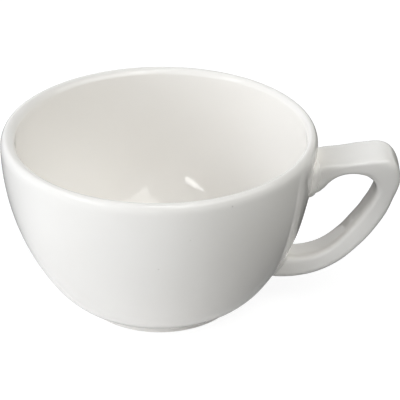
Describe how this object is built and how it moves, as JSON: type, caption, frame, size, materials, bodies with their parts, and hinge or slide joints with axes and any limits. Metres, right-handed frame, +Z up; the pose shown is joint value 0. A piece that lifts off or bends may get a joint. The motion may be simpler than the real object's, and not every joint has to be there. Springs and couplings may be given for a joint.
{
  "type": "cappuccino cup",
  "caption": "Thick white glazed porcelain cappuccino cup: a wide rounded bowl on a low foot ring, with a solid angular loop handle luted to its side.",
  "frame": {"origin": "centre of the foot ring, on the plane of the table", "axes": "+Z up along the bowl's axis, +X from the bowl's axis towards the handle"},
  "size_m": [0.1328, 0.105, 0.062],
  "materials": {
    "bowl": "glossy white glaze, foot ring wiped bare",
    "handle": "glossy white glaze",
    "upper_slip_joint": "fired slip under glossy white glaze",
    "lower_slip_joint": "fired slip under glossy white glaze"
  },
  "bodies": {
    "root": {"bowl": "bowl", "handle": "handle", "upper_slip_joint": "upper_slip_joint", "lower_slip_joint": "lower_slip_joint"}
  },
  "joints": []
}
